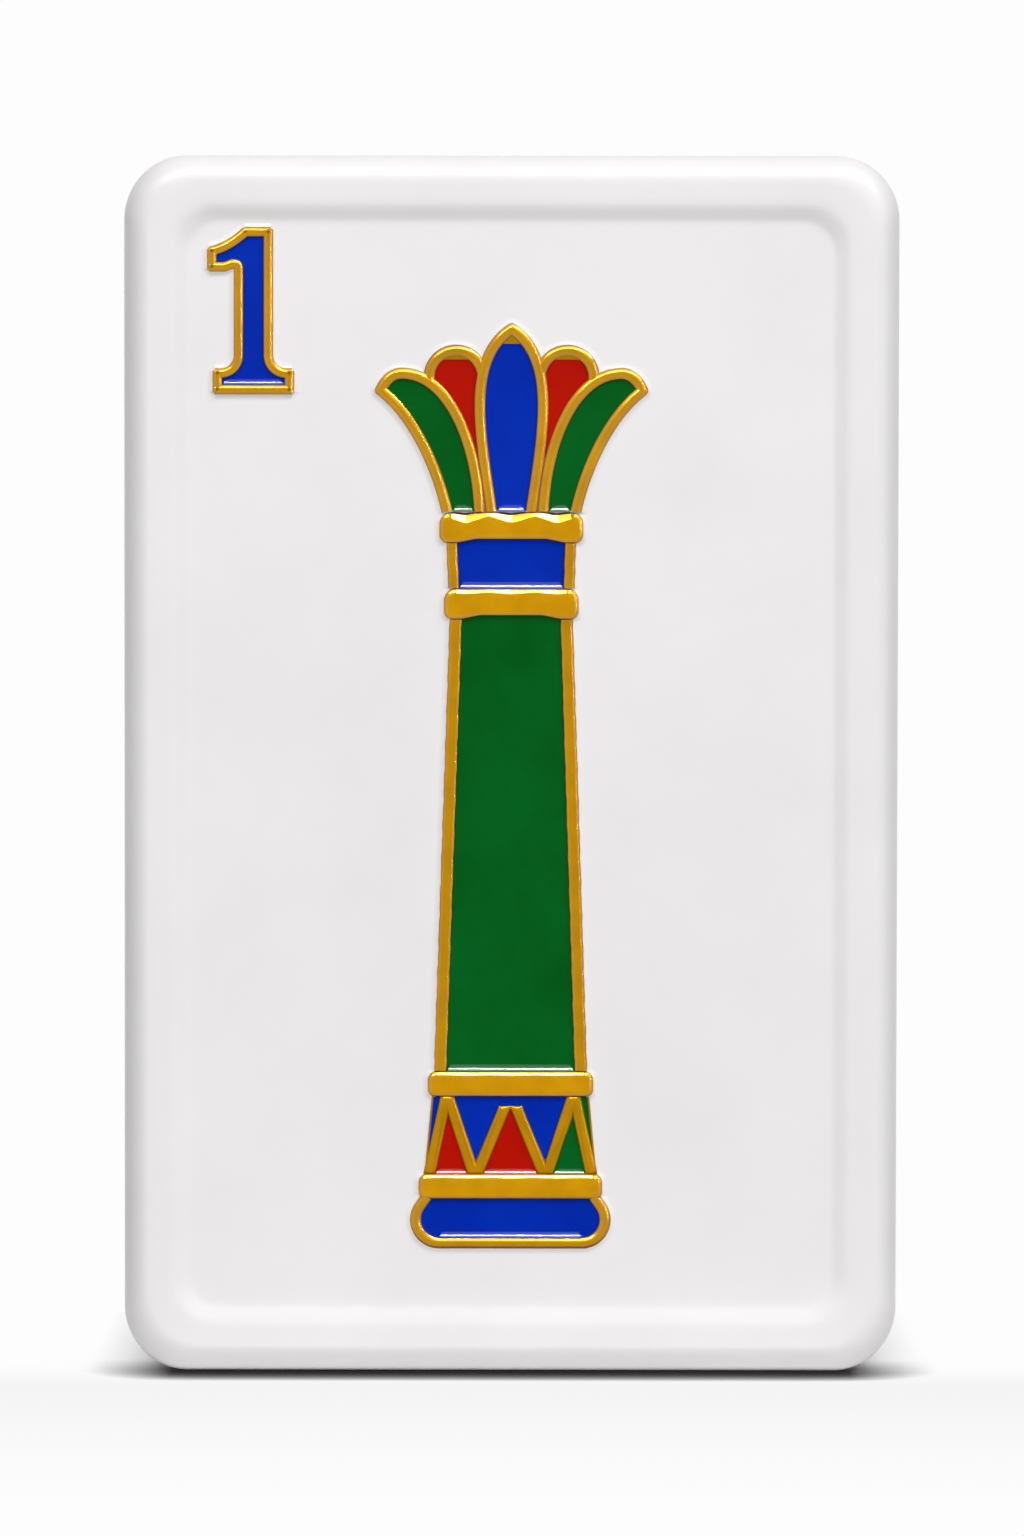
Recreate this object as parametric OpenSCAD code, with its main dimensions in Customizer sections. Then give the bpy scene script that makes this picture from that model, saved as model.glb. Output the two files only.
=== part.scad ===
// Mahjong tile, standing on its lower end with its face towards -Y.
// A face layer and a back layer are joined by a sliding dovetail. The face has a raised rim round
// a recessed panel. Gold strips stand in shallow seats in the panel, and enamel fills between them.

/* [Tile body] */
// Width of the tile
tile_w = 25.5; // [23:0.5:32]
// Height of the tile as it stands
tile_h = 40; // [36:0.5:48]
// Thickness of the tile from face to back
tile_t = 16; // [13:0.5:22]
// Thickness of the face layer
face_t = 7; // [5:0.5:8]
// Corner radius of the tile's outline
corner_r = 2.1; // [1.4:0.1:3]
// Rounding of the front and back edges
edge_r = 0.9; // [0.4:0.1:1.2]

/* [Dovetail] */
// Width of the tongue where it leaves the face layer
tongue_w = 8; // [5:0.5:11]
// Flare of each side of the tongue
tongue_flare = 1.2; // [0.4:0.1:2]
// Depth of the tongue
tongue_d = 3; // [1.5:0.5:4]

/* [Rim and panel] */
// Width of the rim, from the tile's side to the edge of the recess
rim_w = 1.45; // [1.3:0.05:2]
// Width of the recess's sloping wall
slope_w = 0.55; // [0.3:0.05:0.9]
// Depth of the panel below the rim
recess_d = 0.4; // [0.36:0.02:0.8]
// Corner radius of the recess at the rim
recess_r = 1.3; // [1:0.1:2.4]

/* [Inlay] */
// Depth of the seats in the panel
seat_d = 0.25; // [0.15:0.05:0.6]
// Height of the strips and rails over the panel
strip_rise = 0.26; // [0.18:0.02:0.34]
// Height of the cross bands over the panel
band_rise = 0.3; // [0.18:0.02:0.34]
// Height of the enamel over the panel
enamel_rise = 0.14; // [0.04:0.02:0.16]
// Clearance between neighbouring inlay pieces, and in the seats and the dovetail
fit_gap = 0.02; // [0.01:0.005:0.04]

/* [Base of the column] */
// Gap from the panel's lower edge to the plinth
foot_gap = 2.1; // [1:0.1:3]
// Height of the plinth
plinth_h = 1.62; // [1.4:0.02:2]
// Width of the plinth
plinth_w = 6.62; // [6.3:0.02:8]
// Radius of the plinth's rounded ends
plinth_r = 0.96; // [0.85:0.01:1.1]
// Angle at which the plinth's ends turn inwards under the band
plinth_lean = 35; // [25:1:45]
// Width of the plinth's gold rim
plinth_rim_w = 0.39; // [0.28:0.01:0.45]
// Height of the two bands of the base
base_band_h = 0.88; // [0.7:0.02:1.1]
// Width of the band on the plinth
lower_base_w = 6.08; // [5.8:0.02:6.4]
// Width of the band under the shaft
upper_base_w = 5.48; // [5.3:0.02:5.8]
// Corner radius of the ends of all the bands
band_r = 0.28; // [0.1:0.02:0.34]

/* [Zigzag] */
// Height of the zigzag field
zigzag_h = 2.5; // [2.3:0.05:3]
// Width of the zigzag field at its foot
zigzag_foot_w = 5.64; // [5.5:0.02:5.8]
// Width of the zigzag field at its head
zigzag_head_w = 5.16; // [5:0.02:5.3]
// Width of the zigzag's strips
zigzag_strip_w = 0.4; // [0.3:0.02:0.44]
// Width of the thin gold edge at the sides of the field
zigzag_edge_w = 0.06; // [0.04:0.01:0.12]
// Distance from the middle to the outer foot of the zigzag
outer_foot_x = 2.66; // [2.6:0.01:2.72]
// Distance from the middle to a side peak of the zigzag
side_peak_x = 2.085; // [2.04:0.005:2.12]
// Distance from the middle to a valley of the zigzag
valley_x = 1.16; // [1.1:0.01:1.2]
// Height of the peaks' points over the head of the field
peak_over = 0.12; // [0:0.01:0.16]
// Depth of the valleys' points below the foot of the field
valley_under = 0.16; // [0:0.01:0.2]
// Height that is cut off the middle peak, below the head of the field
peak_cut = 0.33; // [0.2:0.01:0.45]

/* [Shaft and neck] */
// Width of the shaft at its foot, over the rails
shaft_foot_w = 5.04; // [4.8:0.02:5.3]
// Width of the shaft at its head, over the rails
shaft_head_w = 4.06; // [3.8:0.02:4.3]
// Width of the rails beside the shaft
shaft_rail_w = 0.41; // [0.28:0.01:0.5]
// Height of the neck between its bands
neck_h = 1.44; // [1.2:0.02:2]
// Width of the neck at its foot, over the rails
neck_foot_w = 4.16; // [3.9:0.02:4.3]
// Width of the neck at its head, over the rails
neck_head_w = 4.26; // [4:0.02:4.5]
// Width of the rails beside the neck
neck_rail_w = 0.36; // [0.28:0.01:0.5]
// Height of the two bands of the neck at their ends
neck_band_h = 1.06; // [0.9:0.02:1.2]
// Width of the band on the shaft
lower_neck_w = 4.46; // [4.36:0.02:4.8]
// Width of the band under the capital
upper_neck_w = 4.76; // [4.64:0.02:5.2]
// Rise of the hollow under each band of the neck
scoop_h = 0.14; // [0.06:0.01:0.2]
// Width of the level part of that hollow
scoop_w = 2.2; // [1.6:0.05:2.6]

/* [Capital] */
// Gap from the panel's upper edge to the point of the middle petal, at the middle of its strip
head_gap = 3.7; // [2:0.1:5]
// Width of the gold strips round the petals
petal_strip_w = 0.36; // [0.28:0.01:0.42]
// Height of the middle petal, to the middle of its strip
middle_petal_h = 5.97; // [5.4:0.01:6.6]
// Half width of the middle petal at its foot, to the middle of its strip
middle_foot_x = 0.65; // [0.6:0.01:0.72]
// Pull of the middle petal's curve where it leaves its foot, outwards and up
middle_foot_pull = [0.37, 2.48]; // [0.2:0.01:3]
// Pull of the middle petal's curve where it nears its point, outwards and down
middle_tip_pull = [1.52, 0.97]; // [0.8:0.01:1.8]
// Depth of the gold that fills the point of the middle petal
middle_web_h = 0.48; // [0.4:0.01:0.6]
// Centre of the inner petal's round top, outwards and up
inner_petal_at = [1.82, 4.39]; // [1.7:0.01:4.6]
// Radius of the inner petal's round top, to the middle of its strip
inner_petal_r = 0.875; // [0.8:0.005:0.95]
// Height at which the enamel of the inner petal starts
inner_petal_foot = 1.75; // [1.7:0.05:2.4]
// Distance from the middle to the outer strip of the outer petal at its foot
outer_petal_x = 2.11; // [2.04:0.01:2.16]
// Distance from the middle to the inner strip of the outer petal at its foot
outer_inside_x = 1.05; // [1.03:0.01:1.12]
// Place of the outer petal's tip, outwards and up
outer_tip = [4.29, 3.96]; // [3.5:0.01:5]
// Place of the outer petal's crown, outwards and up
outer_crown = [3.6, 4.51]; // [3:0.01:5]
// Pull of the outer petal's outer strip where it leaves its foot, outwards and up
outer_foot_pull = [0.3, 1.35]; // [0.1:0.01:1.6]
// Pull of the outer petal's outer strip where it nears the tip, inwards and down
outer_tip_pull = [1.14, 0.87]; // [0.6:0.01:1.3]
// Pull of the outer petal's top where it leaves the tip, inwards and up
outer_lip_pull = [0.15, 0.3]; // [0.05:0.01:0.4]
// Pull of the outer petal's top at its crown, outwards and inwards
outer_crown_pull = [0.33, 1.58]; // [0.2:0.01:1.7]
// Pull of the outer petal's inner strip where it leaves its foot, outwards and up
outer_inside_pull = [0.07, 2.15]; // [0:0.01:2.4]

/* [Numeral] */
// Gap from the panel's left edge to the numeral
numeral_side_gap = 0.78; // [0.5:0.02:1.2]
// Gap from the panel's upper edge to the numeral
numeral_top_gap = 0.38; // [0.3:0.02:1]
// Height of the numeral
numeral_h = 5.48; // [5:0.02:6]
// Width of the numeral's stem
stem_w = 1.3; // [1.1:0.02:1.5]
// Width of the numeral's foot
serif_w = 2.68; // [2.4:0.02:3]
// Height of the numeral's foot
serif_h = 0.86; // [0.76:0.02:1]
// Radius between the stem and the foot
flare_r = 0.42; // [0.2:0.02:0.5]
// Reach of the flag from the middle of the stem
flag_x = 1.52; // [1.4:0.02:1.7]
// Height of the flag's blunt end
flag_end_h = 0.81; // [0.76:0.01:0.9]
// Drop of the flag's upper corner below the top of the numeral
flag_drop = 0.66; // [0.6:0.01:0.8]
// Distance from the middle of the stem to the flag's edge at the top
flag_join_x = 0.32; // [0.2:0.01:0.5]
// Pull of the flag's upper edge at its end, inwards and up
flag_end_pull = [0.52, 0.1]; // [0.05:0.01:0.7]
// Pull of the flag's upper edge at the top, outwards and down
flag_join_pull = [0.33, 0.3]; // [0.1:0.01:0.5]
// Length of the level underside of the flag
flag_under = 0.6; // [0.4:0.02:0.7]
// Rise of the flag's underside into the stem
flag_rise = 0.1; // [0.02:0.01:0.2]
// Rounding of the numeral's corners
numeral_corner_r = 0.08; // [0.02:0.01:0.12]
// Width of the numeral's gold outline
numeral_strip_w = 0.3; // [0.22:0.01:0.32]

/* [Hidden] */

WHITE = "#ebe9e9";
GOLD = "#cf9405";
BLUE = "#002db0";
GREEN = "#015c1a";
RED = "#b41100";

LEFT = -1;
RIGHT = 1;
// Segments in each curved stretch of a drawing
curve_steps = 20;
// Segments in a full circle
$fn = 64;
// Reach of a cutting shape past the surface that it cuts
past = 1;

// Where the panel lies, and the edges of its flat part
panel_y = recess_d - tile_t / 2;
panel_left = rim_w + slope_w - tile_w / 2;
panel_low = rim_w + slope_w;
panel_high = tile_h - rim_w - slope_w;

// Heights of the column's parts. The shaft takes up what the others leave of the panel's height.
plinth_z = panel_low + foot_gap;
lower_base_z = plinth_z + plinth_h;
zigzag_z = lower_base_z + base_band_h;
upper_base_z = zigzag_z + zigzag_h;
shaft_z = upper_base_z + base_band_h;
capital_z = panel_high - head_gap - middle_petal_h;
upper_neck_z = capital_z - neck_band_h;
neck_z = upper_neck_z - neck_h;
lower_neck_z = neck_z - neck_band_h;

function bezier(a, b, c, d) = [
  for (i = [0:curve_steps])
    let (t = i / curve_steps, u = 1 - t)
      u * u * u * a + 3 * u * u * t * b + 3 * u * t * t * c + t * t * t * d
];
function arc(centre, r, from, to) = [
  for (i = [0:curve_steps])
    let (a = from + (to - from) * i / curve_steps)
      centre + r * [cos(a), sin(a)]
];
function mirrored(points) = [for (i = [len(points) - 1:-1:0]) [-points[i].x, points[i].y]];
// A point past b on the line from a, so that what is drawn reaches beyond the edge that trims it
function beyond(a, b) = b + (b - a);

// Body

// Stands a solid up, so that its z points out of the tile's face, or out of its back
module facing_front() translate([0, -tile_t / 2, tile_h / 2]) rotate([90, 0, 0]) children();
module facing_back() translate([0, tile_t / 2, tile_h / 2]) rotate([90, 0, 180]) children();

// Carries a section round a rectangle with round corners. The section's x runs outwards from the
// centres of the corners and its y is depth, and a slab between two depths closes the middle.
module round_corners(w, h, r, low, high) {
  span = [w - 2 * r, h - 2 * r];
  translate([-span.x / 2, -span.y / 2, low]) cube([span.x, span.y, high - low]);
  for (turn = [0:3]) {
    side = turn % 2 == 0 ? span : [span.y, span.x];
    rotate(90 * turn) translate([side.x / 2, 0, 0]) {
      rotate([90, 0, 0]) linear_extrude(side.y, center = true) children();
      translate([0, side.y / 2, 0]) rotate_extrude(angle = 90) children();
    }
  }
}

// One layer of the tile, from its outer face inwards, with a rounded outer edge
module layer(t) {
  round_corners(tile_w, tile_h, corner_r, -t, 0) {
    union() {
      translate([0, -t]) square([corner_r, t - edge_r]);
      translate([0, -t]) square([corner_r - edge_r, t]);
      translate([corner_r - edge_r, -edge_r]) circle(edge_r);
    }
  }
}

// The dovetail along the tile's height, from its root at y = 0 towards +y, grown by a clearance
module dovetail(gap) {
  root = tongue_w / 2 + gap;
  tip = root + tongue_flare;
  depth = tongue_d + gap;
  linear_extrude(tile_h) polygon([[-root, 0], [root, 0], [tip, depth], [-tip, depth]]);
}
module at_seam() translate([0, face_t - tile_t / 2, 0]) children();

module recess() {
  round_corners(tile_w - 2 * rim_w, tile_h - 2 * rim_w, recess_r, -recess_d, past)
    polygon([
      [0, -recess_d], [recess_r - slope_w, -recess_d], [recess_r, 0], [recess_r, past], [0, past]
    ]);
}

module face_block() {
  color(WHITE) difference() {
    union() {
      facing_front() layer(face_t);
      at_seam() dovetail(0);
    }
    facing_front() recess();
    on_panel(past) outline(fit_gap) column_figure();
    on_panel(past) outline(fit_gap) numeral_figure();
  }
}

module back_block() {
  color(WHITE) difference() {
    facing_back() layer(tile_t - face_t);
    at_seam() dovetail(fit_gap);
  }
}

// Drawings on the panel, with x to the right and y up from the foot of the tile

// Makes a drawing solid from the floor of its seat to a height over the panel
module on_panel(rise) {
  translate([0, panel_y + seat_d, 0]) rotate([90, 0, 0]) linear_extrude(seat_d + rise) children();
}

// Settles a drawing into one outline, grown by a distance
module outline(grow = 0) offset(delta = grow) union() children();

// Everything above or below a height
module above(z) translate([-tile_w, z]) square([2 * tile_w, tile_h]);
module below(z) translate([-tile_w, z - tile_h]) square([2 * tile_w, tile_h]);

module on_side(side) mirror([side == LEFT ? 1 : 0, 0]) children();

// A field with straight sides, tapering from one width at its foot to another at its head
module field(foot_w, head_w, low, high) {
  polygon([[-foot_w / 2, low], [foot_w / 2, low], [head_w / 2, high], [-head_w / 2, high]]);
}

// Gold and enamel pieces of a drawing
module gold(rise) color(GOLD) on_panel(rise) outline() children();
module enamel(tint) color(tint) on_panel(enamel_rise) outline(-fit_gap) children();

// Capital

// Each petal is drawn along the middle of its strip, and runs on below the capital's foot
module middle_petal() {
  foot = [middle_foot_x, 0];
  tip = [0, middle_petal_h];
  side = bezier(foot, foot + middle_foot_pull, tip + [middle_tip_pull.x, -middle_tip_pull.y], tip);
  half = concat([foot - [0, past]], side);
  translate([0, capital_z]) polygon(concat(half, mirrored(half)));
}
module outer_petal() {
  foot = [outer_petal_x, 0];
  inside = [outer_inside_x, 0];
  edge = bezier(foot, foot + outer_foot_pull, outer_tip - outer_tip_pull, outer_tip);
  top = bezier(
    outer_tip, outer_tip + [-outer_lip_pull.x, outer_lip_pull.y],
    outer_crown + [outer_crown_pull.x, 0], outer_crown
  );
  inner_edge = bezier(outer_crown, outer_crown - [outer_crown_pull.y, 0], inside + outer_inside_pull, inside);
  translate([0, capital_z])
    polygon(concat(edge, top, inner_edge, [inside - [0, past], foot - [0, past]]));
}
module inner_petal_top(grow) {
  translate(inner_petal_at + [0, capital_z]) circle(inner_petal_r + grow);
}
// The space under the round top of an inner petal, between its two neighbours
module inner_petal_funnel() {
  reach = [inner_petal_r, 0];
  translate([0, capital_z])
    polygon([inner_petal_at + reach, inner_petal_at - reach, [middle_foot_x, 0], [outer_inside_x, 0]]);
}

module petal_outside() offset(r = petal_strip_w / 2) children();
module petal_inside() offset(delta = -petal_strip_w / 2) children();
module petal_strip() {
  difference() {
    petal_outside() children();
    petal_inside() children();
  }
}

module middle_petal_strip() {
  gold(strip_rise) intersection() {
    petal_strip() middle_petal();
    above(capital_z + fit_gap);
  }
  gold(enamel_rise) intersection() {
    middle_petal();
    above(capital_z + middle_petal_h - middle_web_h);
  }
}
module middle_petal_enamel() {
  enamel(BLUE) intersection() {
    petal_inside() middle_petal();
    above(capital_z);
    below(capital_z + middle_petal_h - middle_web_h);
  }
}

// What the strips of an inner petal's two neighbours cover
module inner_petal_neighbours() {
  petal_outside() middle_petal();
  petal_outside() outer_petal();
}
module inner_petal_strip(side) {
  gold(strip_rise) on_side(side) difference() {
    intersection() {
      inner_petal_top(petal_strip_w / 2);
      above(capital_z + inner_petal_at.y);
    }
    inner_petal_top(-petal_strip_w / 2);
    outline(fit_gap) inner_petal_neighbours();
  }
}
module inner_petal_enamel(side) {
  enamel(RED) on_side(side) difference() {
    union() {
      inner_petal_top(-petal_strip_w / 2);
      intersection() {
        inner_petal_funnel();
        above(capital_z + inner_petal_foot);
      }
    }
    inner_petal_neighbours();
  }
}

module outer_petal_strip(side) {
  gold(strip_rise) on_side(side) difference() {
    intersection() {
      petal_strip() outer_petal();
      above(capital_z + fit_gap);
    }
    outline(fit_gap) petal_outside() middle_petal();
  }
}
module outer_petal_enamel(side) {
  enamel(GREEN) on_side(side) intersection() {
    petal_inside() outer_petal();
    above(capital_z);
  }
}

module capital_figure() {
  petal_outside() middle_petal();
  for (side = [LEFT, RIGHT]) on_side(side) {
    petal_outside() outer_petal();
    inner_petal_top(petal_strip_w / 2);
    inner_petal_funnel();
  }
}

// Neck and shaft

module band(w, z, h) {
  translate([-w / 2, z]) offset(r = band_r) offset(delta = -band_r) square([w, h]);
}
// A rail along one side of a tapering field
module rail(side, w, foot_w, head_w, low, high) {
  foot = [foot_w / 2, low + fit_gap];
  head = [head_w / 2, high - fit_gap];
  gold(strip_rise) on_side(side) polygon([foot - [w, 0], foot, head, head - [w, 0]]);
}
// The hollow under a band of the neck, over the space between two rails
module scoop(space_w, z) field(space_w, scoop_w, z, z + scoop_h);
module scooped_band(w, z, space_w) {
  gold(band_rise) difference() {
    outline(-fit_gap) band(w, z, neck_band_h);
    scoop(space_w, z);
  }
}

shaft_space_w = shaft_head_w - 2 * shaft_rail_w;
neck_space_w = neck_head_w - 2 * neck_rail_w;

module upper_neck_band() scooped_band(upper_neck_w, upper_neck_z, neck_space_w);
module neck_rail(side) rail(side, neck_rail_w, neck_foot_w, neck_head_w, neck_z, upper_neck_z);
module neck_enamel() {
  enamel(BLUE) {
    field(neck_foot_w - 2 * neck_rail_w, neck_space_w, neck_z, upper_neck_z);
    scoop(neck_space_w, upper_neck_z);
  }
}
module lower_neck_band() scooped_band(lower_neck_w, lower_neck_z, shaft_space_w);
module shaft_rail(side) rail(side, shaft_rail_w, shaft_foot_w, shaft_head_w, shaft_z, lower_neck_z);
module shaft_enamel() {
  enamel(GREEN) {
    field(shaft_foot_w - 2 * shaft_rail_w, shaft_space_w, shaft_z, lower_neck_z);
    scoop(shaft_space_w, lower_neck_z);
  }
}

// Base

module base_band(w, z) gold(band_rise) outline(-fit_gap) band(w, z, base_band_h);
module upper_base_band() base_band(upper_base_w, upper_base_z);
module lower_base_band() base_band(lower_base_w, lower_base_z);

// Turning points of the zigzag's right half, along the middle of its strips
outer_foot = [outer_foot_x, zigzag_z];
side_peak = [side_peak_x, upper_base_z + peak_over];
valley = [valley_x, zigzag_z - valley_under];
middle_peak = [0, upper_base_z + peak_over];

module zigzag_field(inset = 0) {
  field(zigzag_foot_w - 2 * inset, zigzag_head_w - 2 * inset, zigzag_z, upper_base_z);
}
// The window between two strips of the zigzag that meet at a turning point
module window(point, end_a, end_b) {
  intersection() {
    offset(delta = -zigzag_strip_w / 2) polygon([point, beyond(point, end_a), beyond(point, end_b)]);
    zigzag_field(zigzag_edge_w);
  }
}
module side_triangle() window(side_peak, outer_foot, valley);
module middle_triangle() {
  intersection() {
    window(middle_peak, valley, [-valley.x, valley.y]);
    below(upper_base_z - peak_cut);
  }
}
// The two valleys, with a bridge between them over the cut-off middle peak
module valleys() {
  for (side = [LEFT, RIGHT]) on_side(side) window(valley, side_peak, middle_peak);
  translate([-valley_x, upper_base_z - peak_cut]) square([2 * valley_x, peak_cut]);
}
// The sliver between the outermost strip and the edge of the field
module corner() {
  far = [tile_w, 0];
  low = beyond(side_peak, outer_foot);
  high = beyond(outer_foot, side_peak);
  intersection() {
    offset(delta = -zigzag_strip_w / 2) polygon([low, high, high + far, low + far]);
    zigzag_field(zigzag_edge_w);
  }
}

module zigzag_frame() {
  gold(strip_rise) difference() {
    intersection() {
      zigzag_field();
      above(zigzag_z + fit_gap);
      below(upper_base_z - fit_gap);
    }
    middle_triangle();
    valleys();
    for (side = [LEFT, RIGHT]) on_side(side) {
      side_triangle();
      corner();
    }
  }
}
module triangle_enamel(side, tint) enamel(tint) on_side(side) side_triangle();
module triangle_enamel_middle() enamel(RED) middle_triangle();
module valley_enamel() enamel(BLUE) valleys();
module corner_enamel(side, tint) enamel(tint) on_side(side) corner();

// The plinth, drawn in by a distance. Its round ends stand on the foot line and lean in to the band.
module plinth(inset = 0) {
  centre = [plinth_w / 2 - plinth_r, plinth_z + plinth_r];
  end = arc(centre, plinth_r - inset, -90, plinth_lean);
  lean = plinth_h * [-tan(plinth_lean), 1];
  half = concat(end, [end[curve_steps] + lean]);
  intersection() {
    polygon(concat(half, mirrored(half)));
    below(lower_base_z);
  }
}
module plinth_rim() {
  gold(strip_rise) difference() {
    intersection() {
      plinth();
      below(lower_base_z - fit_gap);
    }
    plinth(plinth_rim_w);
  }
}
module plinth_enamel() enamel(BLUE) plinth(plinth_rim_w);

module column_figure() {
  capital_figure();
  band(upper_neck_w, upper_neck_z, neck_band_h);
  field(neck_foot_w, neck_head_w, neck_z, upper_neck_z);
  band(lower_neck_w, lower_neck_z, neck_band_h);
  field(shaft_foot_w, shaft_head_w, shaft_z, lower_neck_z);
  band(upper_base_w, upper_base_z, base_band_h);
  zigzag_field();
  band(lower_base_w, lower_base_z, base_band_h);
  plinth();
}

// Numeral

module numeral_figure() {
  stem = stem_w / 2;
  foot = serif_w / 2;
  left = max(flag_x, foot);
  flag_top = [-flag_x, numeral_h - flag_drop];
  flag_low = flag_top - [0, flag_end_h];
  flag_join = [-flag_join_x, numeral_h];
  flare_z = serif_h + flare_r;
  flag_edge = bezier(flag_join, flag_join - flag_join_pull, flag_top + flag_end_pull, flag_top);
  translate([panel_left + numeral_side_gap + left, panel_high - numeral_top_gap - numeral_h])
    offset(r = numeral_corner_r) offset(delta = -numeral_corner_r) polygon(concat(
      [[-foot, 0], [foot, 0], [foot, serif_h]],
      arc([stem + flare_r, flare_z], flare_r, 270, 180),
      [[stem, numeral_h]],
      flag_edge,
      [flag_low, flag_low + [flag_under, 0], [-stem, flag_low.y + flag_rise]],
      arc([-stem - flare_r, flare_z], flare_r, 0, -90),
      [[-foot, serif_h]]
    ));
}
module numeral_cell() offset(delta = -numeral_strip_w) numeral_figure();
module numeral_outline() {
  gold(strip_rise) difference() {
    numeral_figure();
    numeral_cell();
  }
}
module numeral_enamel() enamel(BLUE) numeral_cell();

face_block();
back_block();
middle_petal_strip();
inner_petal_strip(LEFT);  // inner_petal_strip_left
inner_petal_strip(RIGHT);  // inner_petal_strip_right
outer_petal_strip(LEFT);  // outer_petal_strip_left
outer_petal_strip(RIGHT);  // outer_petal_strip_right
upper_neck_band();
neck_rail(LEFT);  // neck_rail_left
neck_rail(RIGHT);  // neck_rail_right
lower_neck_band();
shaft_rail(LEFT);  // shaft_rail_left
shaft_rail(RIGHT);  // shaft_rail_right
upper_base_band();
zigzag_frame();
lower_base_band();
plinth_rim();
numeral_outline();
middle_petal_enamel();
inner_petal_enamel(LEFT);  // inner_petal_enamel_left
inner_petal_enamel(RIGHT);  // inner_petal_enamel_right
outer_petal_enamel(LEFT);  // outer_petal_enamel_left
outer_petal_enamel(RIGHT);  // outer_petal_enamel_right
neck_enamel();
shaft_enamel();
triangle_enamel(LEFT, RED);  // triangle_enamel_left
triangle_enamel_middle();
triangle_enamel(RIGHT, GREEN);  // triangle_enamel_right
valley_enamel();
corner_enamel(LEFT, BLUE);  // corner_enamel_left
corner_enamel(RIGHT, GREEN);  // corner_enamel_right
plinth_enamel();
numeral_enamel();
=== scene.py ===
import bpy
import numpy as np
from mathutils import Matrix, Vector


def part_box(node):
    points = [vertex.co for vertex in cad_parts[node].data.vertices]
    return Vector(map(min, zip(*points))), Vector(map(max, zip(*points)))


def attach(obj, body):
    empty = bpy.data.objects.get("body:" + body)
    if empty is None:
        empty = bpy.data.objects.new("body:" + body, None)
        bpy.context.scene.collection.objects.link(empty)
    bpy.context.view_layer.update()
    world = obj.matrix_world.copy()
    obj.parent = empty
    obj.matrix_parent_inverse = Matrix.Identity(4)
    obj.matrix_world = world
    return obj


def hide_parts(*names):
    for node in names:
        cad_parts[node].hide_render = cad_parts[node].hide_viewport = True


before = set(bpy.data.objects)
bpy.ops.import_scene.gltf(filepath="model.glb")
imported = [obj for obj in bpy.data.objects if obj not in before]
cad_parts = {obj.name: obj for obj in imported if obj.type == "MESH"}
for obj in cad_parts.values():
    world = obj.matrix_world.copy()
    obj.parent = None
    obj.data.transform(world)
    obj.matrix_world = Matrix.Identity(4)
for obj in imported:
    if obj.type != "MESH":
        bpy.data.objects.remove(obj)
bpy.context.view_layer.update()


# Back layer
# The plain rear half of the tile, moulded in white melamine resin and tumbled, so that its edges are
# round and its faces polished. A dovetail groove down its front takes the face layer's tongue.

def mm_box(node):
    """A CAD node's lowest and highest corner, in millimetres."""
    return np.array(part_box(node)) * 1000


def linear(hex_colour):
    """An sRGB hex colour as linear red, green, blue and alpha: the sRGB curve undone for each part."""
    parts = np.array([int(hex_colour[i:i + 2], 16) for i in (1, 3, 5)]) / 255
    parts = np.where(parts <= 0.04045, parts / 12.92, ((parts + 0.055) / 1.055) ** 2.4)
    return (*parts, 1.0)


def add_node(tree, kind, inputs=None, **settings):
    """Adds one node with its settings. Each input takes a value, or is linked to the socket given for it."""
    node = tree.nodes.new(kind)
    for key, value in settings.items():
        setattr(node, key, value)
    for key, value in (inputs or {}).items():
        if isinstance(value, bpy.types.NodeSocket):
            tree.links.new(value, node.inputs[key])
        else:
            node.inputs[key].default_value = value
    return node


def finished(name, colours, patch_mm, bump_mm, bump_depth_mm, **shader):
    """A material whose colour drifts between two tones in patches, under a fine unevenness of the surface."""
    material = bpy.data.materials.new(name)
    material.use_nodes = True
    tree = material.node_tree
    tree.nodes.clear()
    place = add_node(tree, "ShaderNodeTexCoord").outputs["Object"]
    patches = add_node(tree, "ShaderNodeTexNoise", {"Vector": place, "Scale": 1000 / patch_mm, "Detail": 3.0})
    tint = add_node(tree, "ShaderNodeValToRGB", {"Fac": patches.outputs["Fac"]})
    tint.color_ramp.elements[0].position = 0.3
    tint.color_ramp.elements[1].position = 0.7
    tint.color_ramp.elements[0].color = linear(colours[0])
    tint.color_ramp.elements[1].color = linear(colours[1])
    dents = add_node(tree, "ShaderNodeTexNoise", {"Vector": place, "Scale": 1000 / bump_mm, "Detail": 2.0})
    bump = add_node(tree, "ShaderNodeBump", {"Height": dents.outputs["Fac"], "Distance": bump_depth_mm / 1000})
    settings = {key.replace("_", " "): value for key, value in shader.items()}
    surface = add_node(tree, "ShaderNodeBsdfPrincipled", {
        "Base Color": tint.outputs["Color"], "Normal": bump.outputs["Normal"], **settings})
    add_node(tree, "ShaderNodeOutputMaterial", {"Surface": surface.outputs["BSDF"]})
    return material


# Polished melamine resin: a cool white body under a clear gloss, with the faint waviness of tumbling.
white_resin = finished(
    "melamine_resin_white", ("#ebe9ea", "#efeded"), patch_mm=5, bump_mm=2.5, bump_depth_mm=0.004,
    Roughness=0.3, IOR=1.5)


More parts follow.
